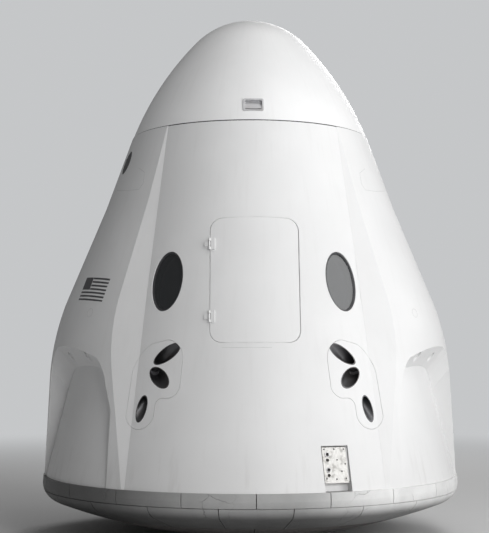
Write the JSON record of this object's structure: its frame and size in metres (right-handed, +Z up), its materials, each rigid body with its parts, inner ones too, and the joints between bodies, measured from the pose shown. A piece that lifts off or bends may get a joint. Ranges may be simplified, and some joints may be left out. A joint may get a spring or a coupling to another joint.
{
  "type": "crew space capsule",
  "caption": "Conical crew space capsule with side engine pods, tiled heat shield, side hatch and windows, and a hinged nose cone over its docking port.",
  "frame": {"origin": "lowest point of the heat shield, on the capsule's axis", "axes": "+Z up along the capsule's axis to the nose, -Y towards the side hatch, +X to the right of someone facing the hatch"},
  "size_m": [4, 4, 5.04],
  "materials": {
    "shell_paint": "satin",
    "nose_paint": "satin",
    "rim_tile": "matt",
    "base_tile": "matt",
    "carrier": "satin",
    "nozzle": "satin",
    "window_glass": "gloss",
    "window_frame": "satin",
    "hinge_metal": "satin",
    "bay_metal": "satin",
    "docking_metal": "satin",
    "seat_shell": "matt",
    "cabin_trim": "matt",
    "console": "gloss",
    "equipment": "satin"
  },
  "bodies": {
    "capsule": {"abort_nozzles_front_left": "shell_paint", "abort_nozzles_front_right": "shell_paint", "abort_nozzles_rear_left": "shell_paint", "abort_nozzles_rear_right": "shell_paint", "base_tiles": "base_tile", "cabin_floor": "cabin_trim", "cabin_wall_front": "shell_paint", "cabin_wall_rear": "shell_paint", "display_console": "console", "docking_adapter": "docking_metal", "docking_capture_ring": "docking_metal", "engine_pod_front_left": "shell_paint", "engine_pod_front_right": "shell_paint", "engine_pod_rear_left": "shell_paint", "engine_pod_rear_right": "shell_paint", "forward_bulkhead": "docking_metal", "forward_hatch_hinge": "hinge_metal", "forward_thrusters": "nozzle", "heat_shield_carrier": "carrier", "nose_hinge_bracket": "hinge_metal", "rim_tiles_lower": "rim_tile", "rim_tiles_upper": "rim_tile", "seat_frame": "cabin_trim", "seats": "seat_shell", "service_equipment": "equipment", "side_hatch_hinge": "shell_paint", "side_port": "window_frame", "thruster_nozzles_front_left": "nozzle", "thruster_nozzles_front_right": "nozzle", "thruster_nozzles_rear_left": "nozzle", "thruster_nozzles_rear_right": "nozzle", "thruster_panel_front_left": "shell_paint", "thruster_panel_front_right": "shell_paint", "thruster_panel_rear_left": "shell_paint", "thruster_panel_rear_right": "shell_paint", "umbilical_plate": "bay_metal", "window_frames": "window_frame", "window_left": "window_glass", "window_right": "window_glass"},
    "nose": {"nose_cone": "nose_paint", "nose_fitting": "hinge_metal", "nose_hinge_arms": "hinge_metal"},
    "hatch": {"side_hatch": "shell_paint", "side_hatch_leaves": "shell_paint"},
    "inner_hatch": {"forward_hatch": "docking_metal"}
  },
  "joints": [
    {"name": "nose_hinge", "type": "hinge", "parent": "capsule", "child": "nose", "pos_m": [0, 1.215, 3.833], "axis": [-1, 0, 0], "range_deg": [0, 100]},
    {"name": "hatch_hinge", "type": "hinge", "parent": "capsule", "child": "hatch", "pos_m": [-0.39371, -1.49073, 2.36386], "axis": [0, -0.2418, -0.9703], "range_deg": [0, 100]},
    {"name": "inner_hatch_hinge", "type": "hinge", "parent": "capsule", "child": "inner_hatch", "pos_m": [0, 0.485, 3.669], "axis": [1, 0, 0], "range_deg": [0, 85]}
  ]
}
